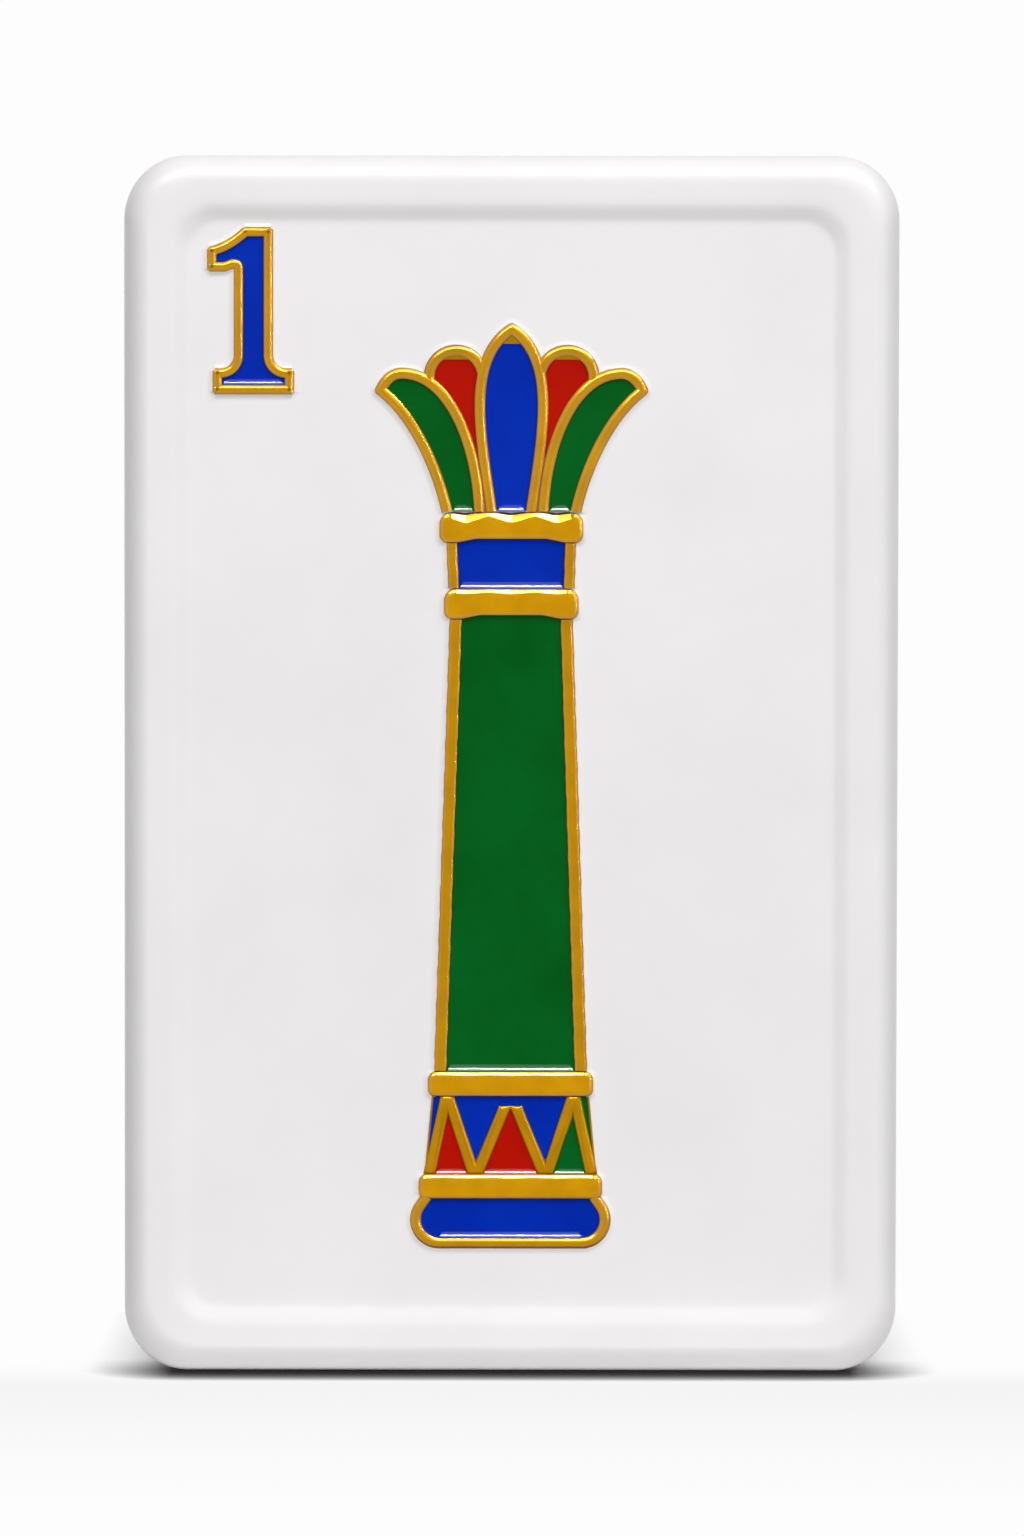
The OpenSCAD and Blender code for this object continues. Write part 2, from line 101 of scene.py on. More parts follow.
def shell(points, rows_meet=False, columns_meet=True, caps=()):
    """Points in rows and columns become quads between neighbours. Rows or columns that meet are joined end to
    end, and each cap closes a row or column of points with one face."""
    count = points.shape[0] * points.shape[1]
    index = np.arange(count).reshape(points.shape[:2])
    ring = np.concatenate([index, index[:1]], 0) if rows_meet else index
    ring = np.concatenate([ring, ring[:, :1]], 1) if columns_meet else ring
    quads = np.stack([ring[:-1, :-1], ring[:-1, 1:], ring[1:, 1:], ring[1:, :-1]], -1).reshape(-1, 4)
    ends = {"first row": index[0, ::-1], "last row": index[-1],
            "first column": index[:, 0], "last column": index[::-1, -1]}
    return points.reshape(-1, 3), quads, [ends[cap] for cap in caps]


# A face belongs to a bevel when the forward part of its normal lies within this range of this value.
bevel_facing = 0.853
bevel_range = 0.055
sharp_edge = np.radians(40)


def add_piece(name, shells, material, slot, *nodes, bevel=None):
    """Joins shells into one mesh in metres, smooth between its sharp edges, and sets it in the frame. Faces that lean
    25 to 37 degrees back from the front take the bevel's material, if there is one."""
    starts = np.cumsum([0] + [len(points) for points, _, _ in shells])
    quads = np.concatenate([part[1] + start for part, start in zip(shells, starts)])
    caps = [cap + start for part, start in zip(shells, starts) for cap in part[2]]
    mesh = bpy.data.meshes.new(name)
    mesh.from_pydata(
        np.concatenate([part[0] for part in shells]) / 1000, [], quads.tolist() + [cap.tolist() for cap in caps])
    mesh.polygons.foreach_set("use_smooth", np.ones(len(mesh.polygons), bool))
    mesh.set_sharp_from_angle(angle=sharp_edge)
    mesh.materials.append(material)
    if bevel:
        mesh.materials.append(bevel)
        normals = np.empty(3 * len(mesh.polygons), np.float32)
        mesh.polygons.foreach_get("normal", normals)
        on_bevel = np.abs(normals[1::3] + bevel_facing) < bevel_range
        mesh.polygons.foreach_set("material_index", on_bevel.astype(np.int32))
    piece = bpy.data.objects.new(name, mesh)
    bpy.context.scene.collection.objects.link(piece)
    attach(piece, "root")
    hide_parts(*nodes)
    return piece


back_low, back_high = mm_box("back_block")
half_w = back_high[0]
half_h = back_high[2] / 2
back_y = back_high[1]
seam_y = back_low[1]
tongue_d = mm_box("face_block")[1][1] - seam_y
tongue_root = 4.0
tongue_tip = 5.2
corner_r = 2.1
edge_r = 0.92
joint_chamfer = 0.05
round_steps = np.radians(np.linspace(0, 90, 13))


def ring_path(stops):
    """Goes once round the tile's outline, anticlockwise as the face is seen, from the top of the right side.
    Each point is a share of the way to a corner's centre and a direction to lay the corner's radius off in.
    The lower half is the upper half turned over, so that the halves match point for point."""
    arc = np.exp(1j * np.radians(np.linspace(0, 90, 25)))
    share = np.concatenate([np.full(25, 1 + 1j), stops + 1j, np.full(25, -1 + 1j)])
    away = np.concatenate([arc, np.full(len(stops), 1j), arc * 1j])
    return np.concatenate([share, share[::-1].conj()]), np.concatenate([away, away[::-1].conj()])


def tile_rings(path, inset, radius, y):
    """One ring per row: the tile's outline drawn in by inset, with its own corner radius, at its own depth."""
    share, away = path
    inset, radius = (np.asarray(value, float)[:, None] for value in (inset, radius))
    y = np.asarray(y, float).reshape(len(inset), -1)
    x = share.real * (half_w - inset - radius) + away.real * radius
    z = half_h + share.imag * (half_h - inset - radius) + away.imag * radius
    return np.stack([x, y + 0 * x, z], -1)


def joint_rings(path, stops, inset, grow):
    """Rings along the joint: level with the seam, and round the dovetail where they cross the tile's two ends.
    Grown by an amount, the dovetail's slanting sides move out by that amount square to themselves."""
    share, away = path
    rings = tile_rings(path, inset, [corner_r] * len(inset), [seam_y + g for g in grow])
    at_end = np.abs(away.imag) > 0.9999
    lean = (tongue_tip - tongue_root) / tongue_d
    for ring, g in zip(rings, grow):
        side = g * (lean + np.hypot(1, lean))
        x = np.array([half_w - corner_r, tongue_root + side, tongue_tip + side])
        y = seam_y + g + np.array([0, 0, tongue_d])
        marks = np.concatenate([-stops, stops[::-1]])
        ring[at_end, 0] = np.interp(share.real[at_end], marks, np.concatenate([-x, x[::-1]]))
        ring[at_end, 1] = np.interp(share.real[at_end], marks, np.concatenate([y, y[::-1]]))
    return rings


def joint_faces(points, row, turned):
    """Closes a block at the joint: each point of the ring's upper half is joined to its match in the lower half."""
    columns = points.shape[1]
    upper = row * columns + np.arange(columns // 2)
    lower = row * columns + np.arange(columns // 2, columns)[::-1]
    quads = np.stack([upper[:-1], upper[1:], lower[1:], lower[:-1]], -1)
    return quads[:, ::-1] if turned else quads


# On each side of an end the rings keep two points for the dovetail's corners. Away from the joint they lie this far
# out, in millimetres.
back_stops = np.array([half_w - corner_r, 6.4, 5.5]) / (half_w - corner_r)
back_path = ring_path(np.concatenate([back_stops[1:], -back_stops[:0:-1]]))
back_flat_inset = 4.0
back_flat_r = 0.4
groove_margin = 1.0
back_inset = np.concatenate([[back_flat_inset], edge_r * (1 - np.sin(round_steps)), [0.0]])
back_depth = np.concatenate([
    [back_y], back_y - edge_r * (1 - np.cos(round_steps)), [seam_y + tongue_d + groove_margin]])
back_radius = np.maximum(corner_r - back_inset, back_flat_r)
back_points = np.concatenate([
    tile_rings(back_path, back_inset, back_radius, back_depth),
    joint_rings(back_path, back_stops, [0, joint_chamfer], [joint_chamfer, 0])])
points, quads, caps = shell(back_points, caps=["first row"])
quads = np.concatenate([quads, joint_faces(back_points, len(back_points) - 1, False)])
add_piece("back_layer", [(points, quads, caps)], white_resin, "white_resin", "back_block")


# Face layer
# The front half, moulded in the same resin, with a raised rim that runs down in a soft slope to the panel.
# Its tongue slides into the back layer's groove, and a hairline shows all round where the two meet.

face_y = mm_box("face_block")[0][1]
side_depth = 1.38
# The inlay's heights are laid off from a ground this far behind the rim's crest. The panel lies in front of that
# ground, by the swell, so that only the rest of the inlay's height stands over it.
recess_d = 0.34
panel_swell = 0.15
panel_y = face_y + recess_d
face_stops = np.array([half_w - corner_r, 3.0, 2.0]) / (half_w - corner_r)
face_path = ring_path(np.concatenate([face_stops[1:], -face_stops[:0:-1]]))
# Inside its crest the rim falls slowly, then in a slope that steepens down to the panel, and runs out level there.
# The fall per unit of inset is given at places across the rim, and the depth is its running sum.
slope_inset = np.linspace(0.99, 2.6, 55)
slope_drop = np.cumsum(np.interp(
    slope_inset, [0.99, 1.4, 1.6, 1.72, 1.85, 2.05, 2.12, 2.2, 2.3, 2.6],
    [0, 0.015, 0.07, 0.2, 0.34, 0.37, 0.3, 0.14, 0.04, 0]))
slope_drop = (recess_d - panel_swell) * slope_drop / slope_drop[-1]
# The outer edge is a quarter of a deep ellipse down the long sides, where the tile is held. At the two ends it turns
# over quickly, leans back by 20 to 40 degrees over most of its width, and then turns level. Its lean in degrees is
# given at places across it, and its depth is the running sum of width times tangent, from the crest outwards.
round_inset = edge_r * (1 - np.cos(np.radians(np.linspace(0, 90, 33))))
side_round = side_depth * (1 - np.sqrt(1 - (1 - round_inset / edge_r) ** 2))
end_lean = np.interp(
    round_inset, [0, 0.03, 0.1, 0.2, 0.3, 0.4, 0.5, 0.6, 0.7, 0.8, 0.87, edge_r],
    [88, 76, 60, 46, 39, 34, 30, 26.5, 22, 15, 7, 0])
end_fall = np.diff(round_inset) * np.tan(np.radians((end_lean[1:] + end_lean[:-1]) / 2))
end_round = np.concatenate([np.cumsum(end_fall[::-1])[::-1], [0]])
tongue_margin = 2.0
face_inset = np.concatenate([[0.0], round_inset, slope_inset])
sideways = face_path[1].real ** 2
level = np.ones(len(sideways))
face_depth = np.concatenate([
    [level * (seam_y - tongue_margin)], face_y + np.outer(side_round, sideways) + np.outer(end_round, 1 - sideways),
    np.outer(face_y + slope_drop, level)])
face_radius = np.interp(face_inset, [0, 1.45, 2.0, 2.4], [corner_r, 1.5, 1.2, 1.0])
face_points = np.concatenate([
    joint_rings(face_path, face_stops, [joint_chamfer, 0], [0, -joint_chamfer]),
    tile_rings(face_path, face_inset, face_radius, face_depth)])
points, quads, caps = shell(face_points, caps=["last row"])
quads = np.concatenate([quads, joint_faces(face_points, 0, True)])
add_piece("face_layer", [(points, quads, caps)], white_resin, "white_resin", "face_block")


# Petal strips
# Flat gilt brass strip, drawn to a domed section and bent to the five petals of the capital. The strips
# are pressed into seats in the panel, and the middle petal's point is filled with a small gilt web.

# Heights over the inlay's ground for the gilt's painted shade: darkest at the first, full colour from the second.
painted_shade_darkest_rise = 0.16
painted_shade_clear_rise = 0.34


def gilt_with_painted_shade(name, **shader):
    """Gilt brass in two tones, with painted shade: its colour darkens towards the panel, down the sides and feet of the
    strips.
    """
    material = finished(
        name, ("#c78d00", "#d89b00"), patch_mm=0.9, bump_mm=0.45, bump_depth_mm=0.006, Metallic=1.0, **shader)
    tree = material.node_tree
    place = tree.nodes["Texture Coordinate"].outputs["Object"]
    # Painted shade: the colour is multiplied down to half at the foot of a strip, and less so higher up.
    shade = add_node(tree, "ShaderNodeMapRange", {
        "Value": add_node(tree, "ShaderNodeSeparateXYZ", {"Vector": place}).outputs["Y"],
        "From Min": (panel_y - painted_shade_darkest_rise) / 1000, "From Max": (panel_y - painted_shade_clear_rise) / 1000,
        "To Min": 0.5, "To Max": 1.0})
    shaded = add_node(tree, "ShaderNodeMix", {
        0: 1.0, 6: tree.nodes["Color Ramp"].outputs["Color"], 7: shade.outputs["Result"]},
        data_type="RGBA", blend_type="MULTIPLY")
    tree.links.new(shaded.outputs[2], tree.nodes["Principled BSDF"].inputs["Base Color"])
    return material


# Gilt brass, filed by hand: a warm satin metal, mottled, with painted shade darkening it towards the panel. Its lacquer
# is rubbed thin on top, but lies thick on the bevels, where it gives white glints.
gilt = gilt_with_painted_shade("gilt_brass", Roughness=0.3, Coat_Weight=0.1, Coat_Roughness=0.05)
gilt_bevel = gilt_with_painted_shade("gilt_brass_lacquered", Roughness=0.25, Coat_Weight=0.8, Coat_Roughness=0.12, Coat_IOR=1.6)


def add_gilt(name, shells):
    """A gilt piece under its CAD node's own name."""
    add_piece(name, shells, gilt, "gilt", name, bevel=gilt_bevel)


def bezier(a, b, c, d, count=120):
    """The cubic curve from a to d that is drawn towards b and c."""
    t = np.linspace(0, 1, count)[:, None]
    a, b, c, d = (np.asarray(point, float) for point in (a, b, c, d))
    return (1 - t) ** 3 * a + 3 * (1 - t) ** 2 * t * b + 3 * (1 - t) * t ** 2 * c + t ** 3 * d


def offset_rows(path, offsets, closed=False):
    """Copies of a path, each moved to its left by an offset. A sharp turn keeps its mitre on the inside and is
    rounded by a fan of points on the outside, so every row has the same number of points."""
    sharp_turn = 0.4
    fan_count = 9
    mitre_limit = 0.15
    edge = np.roll(path, -1, 0) - path
    edge = edge / np.maximum(np.hypot(*edge.T), 1e-9)[:, None]
    before, after = np.roll(edge, 1, 0), edge.copy()
    if not closed:
        before[0], after[-1] = edge[0], edge[-2]
        before[-1] = edge[-2]
    before, after = (np.stack([-v[:, 1], v[:, 0]], -1) for v in (before, after))
    turn = np.arctan2(before[:, 0] * after[:, 1] - before[:, 1] * after[:, 0], (before * after).sum(1))
    copies = np.where(np.abs(turn) > sharp_turn, fan_count, 1)
    order = np.arange(copies.sum()) - np.repeat(np.cumsum(copies) - copies, copies)
    part = np.where(np.repeat(copies, copies) > 1, order / (fan_count - 1), 0.5)
    path, before, after, turn = (np.repeat(value, copies, 0) for value in (path, before, after, turn))
    angle = np.arctan2(before[:, 1], before[:, 0]) + turn * part
    fan = np.stack([np.cos(angle), np.sin(angle)], -1)
    mitre = (before + after) / np.maximum(1 + (before * after).sum(1), mitre_limit)[:, None]
    left = np.where((turn < 0)[:, None], fan, mitre)
    right = np.where((turn > 0)[:, None], fan, mitre)
    offsets = np.asarray(offsets, float)[:, None, None]
    return path + np.where(offsets > 0, left, right) * offsets


def from_panel(flat, height):
    """Points of a drawing on the panel, lifted towards the viewer by a height."""
    height = np.broadcast_to(height, flat.shape[:-1])
    return np.stack([flat[..., 0], panel_y - height, flat[..., 1]], -1)


def strip(path, offsets, heights, closed=False):
    """Carries a closed section along a path on the panel. The section's points have an offset to the path's left
    and a height over the panel."""
    points = from_panel(offset_rows(path, offsets, closed), np.asarray(heights, float)[:, None])
    caps = [] if closed else ["first column", "last column"]
    return shell(points, rows_meet=True, columns_meet=closed, caps=caps)


seat_d = 0.2


def filed(width, crown, widths, slopes):
    """Section of a strip. From each edge inwards it has facets of given widths and slopes in degrees, up to a level
    crown: the height is the running sum of each facet's width times the tangent of its slope."""
    run = np.concatenate([[0, 0], np.cumsum(widths)]) - width / 2
    rise = np.cumsum(widths * np.tan(np.radians(slopes)))
    height = np.concatenate([[-seat_d, crown - rise[-1]], crown - rise[-1] + rise])
    return np.concatenate([run, -run[::-1]]), np.concatenate([height, height[::-1]])


def pillow(outline, widths, slopes, middle):
    """Fills an anticlockwise outline. From its edge inwards it has facets of given widths and slopes in degrees, to a
    level middle. Near a point of the outline they shrink to what has room there: most of the radius of the largest
    circle inside that touches the outline at that place."""
    mitre_limit = 0.6
    room_share = 0.8
    ahead, behind = np.roll(outline, -1, 0) - outline, outline - np.roll(outline, 1, 0)
    normals = [np.stack([-v[:, 1], v[:, 0]], -1) / np.maximum(np.hypot(*v.T), 1e-9)[:, None] for v in (behind, ahead)]
    mitre = sum(normals) / np.maximum(1 + (normals[0] * normals[1]).sum(1), mitre_limit)[:, None]
    unit = mitre / np.hypot(*mitre.T)[:, None]
    apart = outline[None] - outline[:, None]
    along = (apart * unit[:, None]).sum(2)
    room = np.where(along > 1e-6, (apart ** 2).sum(2) / np.maximum(2 * along, 1e-9), np.inf).min(1)
    widths = widths.reshape(len(slopes), -1) + 0 * room
    steep = np.tan(np.radians(slopes))[:, None]
    shrunk = np.minimum(1, room_share * room / widths.sum(0)) * np.concatenate([0 * widths[:1], widths])
    reached = np.cumsum(shrunk, 0)
    rise = np.cumsum(shrunk * np.concatenate([0 * steep[:1], steep]), 0)
    height = middle - (widths * steep).sum(0) + rise
    flat = outline + mitre * reached[..., None]
    points = np.concatenate([from_panel(outline, -seat_d)[None], from_panel(flat, height)])
    return shell(points, caps=["first row", "last row"])


def mirrored(path):
    """A path's other half, carried on from the end of the first: x turned over and the order reversed."""
    return path[::-1] * [-1, 1]


strip_rise = 0.3
strip_facets = (
    np.array([0.01, 0.012, 0.012, 0.03, 0.04, 0.03, 0.012, 0.014]), np.array([72, 55, 40, 34, 31, 28, 20, 8]))
arch_rise = strip_rise - 0.02
band_gap = 0.02
capital_z = mm_box("upper_neck_band")[1][2] + band_gap
petal_w = 0.39
middle_h = 5.97
tip_web_h = 0.48
arch_web_h = 0.58
web_rise = 0.2

petal_foot = np.array([0, capital_z])
middle_side = petal_foot + bezier([0.65, 0], [1.02, 2.48], [1.52, 5.0], [0, middle_h])
middle_path = np.concatenate([middle_side, mirrored(middle_side)[1:]])
web_z = capital_z + middle_h - tip_web_h
web_outline = middle_path[middle_path[:, 1] > web_z]
web_facets = np.array([0.05, 0.03]), np.array([30, 10])

outer_edge = bezier([2.11, 0], [2.41, 1.35], [3.15, 3.09], [4.29, 3.96])
outer_top = bezier([4.29, 3.96], [4.14, 4.26], [3.93, 4.51], [3.6, 4.51], 48)
outer_inside = bezier([3.6, 4.51], [2.02, 4.51], [1.12, 2.15], [1.05, 0])
outer_path = petal_foot + np.concatenate([outer_edge, outer_top[1:], outer_inside[1:]])

inner_at = petal_foot + [1.82, 4.39]
inner_r = 0.875
inner_arc = np.radians(np.linspace(-8, 172, 48))
inner_path = inner_at + inner_r * np.stack([np.cos(inner_arc), np.sin(inner_arc)], -1)
inner_web = inner_path[inner_path[:, 1] > inner_at[1] + arch_web_h]
# Below the red cells a flat tongue of gilt fills the slit between the middle petal's strip and the outer petal's.
slit_h = 1.85
slit_rise = 0.22
slit_outside = petal_foot + outer_inside[::-1]
slit = np.concatenate([
    middle_side[:1], slit_outside[slit_outside[:, 1] < capital_z + slit_h],
    middle_side[middle_side[:, 1] < capital_z + slit_h][::-1][:-1]])

petal_section = filed(petal_w, strip_rise, *strip_facets)
inner_section = filed(petal_w, arch_rise, *strip_facets)
add_gilt("middle_petal_strip", [strip(middle_path, *petal_section), pillow(web_outline, *web_facets, web_rise)])
for side, hand in (("left", [-1, 1]), ("right", [1, 1])):
    order = slice(None, None, hand[0])
    add_gilt(f"outer_petal_strip_{side}", [strip((outer_path * hand)[order], *petal_section)])
    add_gilt(f"inner_petal_strip_{side}", [
        strip((inner_path * hand)[order], *inner_section), pillow((inner_web * hand)[order], *web_facets, web_rise),
        pillow((slit * hand)[order], *web_facets, slit_rise)])


# Bands
# Four gilt brass bars across the column, cast flat and filed to rounded ends. Each is pressed in over the
# ends of the strips above and below it, and the two bars of the neck are hollowed underneath.

def arc_points(centre, radius, start, end, count=10):
    """Points on a circle between two angles in degrees."""
    angle = np.radians(np.linspace(start, end, count))
    return np.asarray(centre, float) + radius * np.stack([np.cos(angle), np.sin(angle)], -1)


def bar_outline(low, high, top_r, foot_r, hollow):
    """Anticlockwise outline of a bar with round corners. hollow gives the points along its underside, left to right."""
    (x0, z0), (x1, z1) = low[[0, 2]], high[[0, 2]]
    top = np.stack([np.linspace(x1 - top_r, x0 + top_r, 60), np.full(60, z1)], -1)
    return np.concatenate([
        arc_points([x0 + foot_r, z0 + foot_r], foot_r, 180, 268), hollow,
        arc_points([x1 - foot_r, z0 + foot_r], foot_r, 272, 360),
        arc_points([x1 - top_r, z1 - top_r], top_r, 0, 88), top, arc_points([x0 + top_r, z1 - top_r], top_r, 92, 180)])


band_rise = 0.34
band_widths = np.array([0.012, 0.014, 0.012, 0.02, 0.05, 0.02, 0.012, 0.015])
band_slopes = np.array([72, 55, 40, 0.6, 0, -0.6, 20, 8])
main_slope = 28.8
slope_per_mm = 0.14
hollow_d = 0.12
hollow_run = 0.6
underside_inset = 0.45
point_pitch = 1.5
bar_outlines = {}
# Each bar has the width of the hollow under it, how far its upper bevel widens, and the radii of its corners.
for name, hollow_w, point_w, top_r, foot_r in (
        ("upper_neck_band", 3.5, 0.24, 0.4, 0.28), ("lower_neck_band", 3.24, 0.06, 0.4, 0.28),
        ("upper_base_band", 0, 0.02, 0.3, 0.24), ("lower_base_band", 0, 0.02, 0.3, 0.24)):
    low, high = mm_box(name)
    x = np.linspace(low[0] + underside_inset, high[0] - underside_inset, 60)
    hollow = np.stack([x, low[2] + hollow_d * np.clip((hollow_w / 2 - np.abs(x)) / hollow_run, 0, 1)], -1)
    outline = bar_outline(low, high, top_r, foot_r, hollow)
    bar_outlines[name] = outline
    # The bevel of the upper edge widens to shallow points under the petals' feet: a triangle wave along the bar.
    wave = np.abs((outline[:, 0] / point_pitch) % 1 - 0.5) * 2
    wave = np.where(outline[:, 1] > high[2] - 0.02, wave, 0)
    widths = band_widths[:, None] + (band_slopes == 0)[:, None] * point_w * wave
    # The main facet is filed a little steeper on the lower bars.
    slopes = band_slopes + (np.abs(band_slopes) < 1) * (main_slope + slope_per_mm * (capital_z - high[2]))
    add_gilt(name, [pillow(outline, widths, slopes, band_rise)])


# Rails
# Straight gilt brass strips down both sides of the neck and the shaft, filed flat on top. Their ends butt
# against the bands, and their edges are a little uneven from the file.

def uneven(path, amount):
    """Moves a path's points sideways by the sum of two sine waves along its height, so that it looks hand filed."""
    z = path[:, 1]
    return path + np.stack([amount * (np.sin(5.1 * z) + np.sin(11.7 * z + 1)) / 2, 0 * z], -1)


rail_facets = np.array([0.01, 0.012, 0.01, 0.02, 0.02, 0.02, 0.02]), np.array([72, 55, 42, 34, 31, 28, 8])
rail_rise = strip_rise - 0.02
butt = 0.03
file_wave = 0.012
rail_paths = {}
for name, rail_w, foot_w, head_w in (("neck_rail", 0.38, 4.16, 4.26), ("shaft_rail", 0.43, 5.04, 4.06)):
    for side, hand in (("left", -1), ("right", 1)):
        low, high = mm_box(f"{name}_{side}")
        z = np.linspace(low[2] - butt, high[2] + butt, 140)
        x = np.interp(z, [low[2], high[2]], [foot_w / 2 - rail_w / 2, head_w / 2 - rail_w / 2])
        path = uneven(np.stack([hand * x, z], -1), file_wave)
        rail_paths[f"{name}_{side}"] = path, rail_w
        add_gilt(f"{name}_{side}", [strip(path, *filed(rail_w, rail_rise, *rail_facets))])


# Zigzag
# A pierced gilt brass strip between the two bands of the base, filed to six slanting bars that leave three
# triangles and two valleys open. The middle peak is cut off short of the band above it.

zigzag_z = mm_box("lower_base_band")[1][2]
zigzag_top = mm_box("upper_base_band")[0][2]
zigzag_w = 0.4
zigzag_rise = strip_rise - 0.03
peak_over = 0.12
valley_under = 0.16
peak_cut = 0.33


def slant(a, b, width, low, high):
    """A bar along the line from a to b, cut level at two heights: its sides lie half the width from the line."""
    a, b = np.asarray(a), np.asarray(b)
    run = (b[0] - a[0]) / (b[1] - a[1])
    side = width / 2 * np.hypot(1, run)
    x = a[0] + run * (np.array([low, low, high, high]) - a[1]) + side * np.array([-1, 1, 1, -1])
    corners = np.stack([x, [low, low, high, high]], -1)
    t = np.linspace(0, 1, 24, endpoint=False)[:, None]
    return np.concatenate([corners[i] + (corners[(i + 1) % 4] - corners[i]) * t for i in range(4)])


outer_foot = [2.66, zigzag_z]
side_peak = [2.085, zigzag_top + peak_over]
valley = [1.16, zigzag_z - valley_under]
middle_peak = [0.0, zigzag_top + peak_over]
edge_foot_x, edge_head_x = 2.79, 2.55
edge_w = 0.07
edge_rise = 0.21
edge_facets = np.array([0.01, 0.015]), np.array([60, 30])
zigzag_shells = []
for hand in (1, -1):
    for a, b, high in ((outer_foot, side_peak, zigzag_top), (valley, side_peak, zigzag_top),
                       (valley, middle_peak, zigzag_top - peak_cut)):
        bar = slant(np.multiply(a, [hand, 1]), np.multiply(b, [hand, 1]), zigzag_w, zigzag_z - butt, high + butt)
        zigzag_shells.append(pillow(bar, *rail_facets, zigzag_rise))
    edge_z = np.linspace(zigzag_z - butt, zigzag_top + butt, 30)
    edge_path = np.stack([hand * np.linspace(edge_foot_x, edge_head_x, 30), edge_z], -1)
    zigzag_shells.append(strip(edge_path, *filed(edge_w, edge_rise, *edge_facets)))
add_piece("zigzag_frame", zigzag_shells, gilt, "gilt", "zigzag_frame")


# Plinth rim
# One length of gilt brass strip, bent round the foot of the column and up at both ends, where it leans in
# under the lowest band.

plinth_low, plinth_high = mm_box("plinth_rim")
plinth_rim_w = 0.39
plinth_r = 0.96
plinth_lean = 35
plinth_end_l = 0.5
plinth_rise = strip_rise - 0.01
plinth_at = np.array([plinth_high[0] - plinth_r, plinth_low[2] + plinth_r])
plinth_end = arc_points(plinth_at, plinth_r - plinth_rim_w / 2, -90, plinth_lean, 40)
plinth_up = np.array([-np.sin(np.radians(plinth_lean)), np.cos(np.radians(plinth_lean))])
plinth_half = np.concatenate([plinth_end, plinth_end[-1:] + plinth_end_l * plinth_up])
plinth_path = np.concatenate([mirrored(plinth_half), plinth_half])
add_gilt("plinth_rim", [strip(plinth_path, *filed(plinth_rim_w, plinth_rise, *strip_facets))])


# Numeral outline
# One length of gilt brass strip, bent round a plain figure one and mitred at its corners, and pressed into
# its own seat in the upper left of the panel.

numeral_low, numeral_high = mm_box("numeral_outline")
numeral_strip_w = 0.33
numeral_corner_r = 0.08
stem = 0.65
serif = 1.34
serif_h = 0.86
flare_r = 0.42
flag_x = 1.52
flag_end_h = 0.81
flag_drop = 0.66
numeral_bevel = 0.85
numeral_h = numeral_high[2] - numeral_low[2]
flag_top = np.array([-flag_x, numeral_h - flag_drop])
flag_low = flag_top - [0, flag_end_h]
flag_join = np.array([-0.32, numeral_h])
figure = np.concatenate([
    [[-serif, 0], [serif, 0], [serif, serif_h]],
    arc_points([stem + flare_r, serif_h + flare_r], flare_r, 270, 180, 12), [[stem, numeral_h]],
    bezier(flag_join, flag_join - [0.33, 0.3], flag_top + [0.52, 0.1], flag_top, 14),
    [flag_low, flag_low + [0.6, 0], [-stem, flag_low[1] + 0.1]],
    arc_points([-stem - flare_r, serif_h + flare_r], flare_r, 0, -90, 12), [[-serif, serif_h]]])
figure = figure + [numeral_low[0] + flag_x, numeral_low[2]]
numeral_path = offset_rows(figure, [numeral_corner_r], True)[0]
numeral_offset, numeral_height = filed(numeral_strip_w, strip_rise, numeral_bevel * strip_facets[0], strip_facets[1])
numeral_offset = numeral_offset + numeral_strip_w / 2 - numeral_corner_r
add_gilt("numeral_outline", [strip(numeral_path, numeral_offset, numeral_height, True)])


# Resin bead
# The white resin of the panel stands up a little all round the inlay, where it was squeezed out as the strips
# were pressed home. It runs out level with the panel within a quarter of a millimetre.

bead_reach = 0.18
bead_rise = 0.05
bead_under = 0.05
bead_buried = 0.05
bead_run = np.linspace(1, 0, 8)
# Across the bead the height is rise * (1 - run)^2. Its inner edge lies under the gilt, and its underside in the panel.
bead_offset = np.concatenate([[-1.0], -bead_run, [bead_under, bead_under]]) * bead_reach
bead_height = panel_swell + np.concatenate([
    [-bead_buried], bead_rise * (1 - bead_run) ** 2 + 0.001, [bead_rise, -bead_buried]])
# It lies only where gilt meets the panel, and not inside the cells: along the petals' tops, and round the bars' ends.
tip_h = 4.75
bead_tip = middle_path[middle_path[:, 1] > capital_z + tip_h]
bead_loop = outer_path[:np.flatnonzero(np.hypot(*(outer_path - inner_at).T) < inner_r + petal_w / 2)[0]]
bead_arch = inner_path[5:-5]
bar_end_w = 0.25
beads = [strip(bead_tip, bead_offset - petal_w / 2, bead_height)]
for hand in (1, -1):
    order = slice(None, None, hand)
    beads.append(strip((bead_loop * [hand, 1])[order], bead_offset - petal_w / 2, bead_height))
    beads.append(strip((bead_arch * [hand, 1])[order], bead_offset - petal_w / 2, bead_height))
for outline in bar_outlines.values():
    bar_end = outline[outline[:, 0] > outline[:, 0].max() - bar_end_w]
    beads += [strip(bar_end, bead_offset, bead_height), strip(mirrored(bar_end), bead_offset, bead_height)]
for name, (path, rail_w) in rail_paths.items():
    order = slice(None, None, -1 if name.endswith("left") else 1)
    beads.append(strip(path[order], bead_offset - rail_w / 2, bead_height))
beads.append(strip(plinth_path, bead_offset - plinth_rim_w / 2, bead_height))
beads.append(strip(numeral_path, bead_offset - numeral_corner_r, bead_height, True))
add_piece("resin_bead", beads, white_resin, "white_resin", "face_block")


# Enamel
# Opaque glass enamel, laid into each cell and fired. It wets the gilt strips, so it climbs a little at its
# edges, and it is ground and polished flat in the middle.

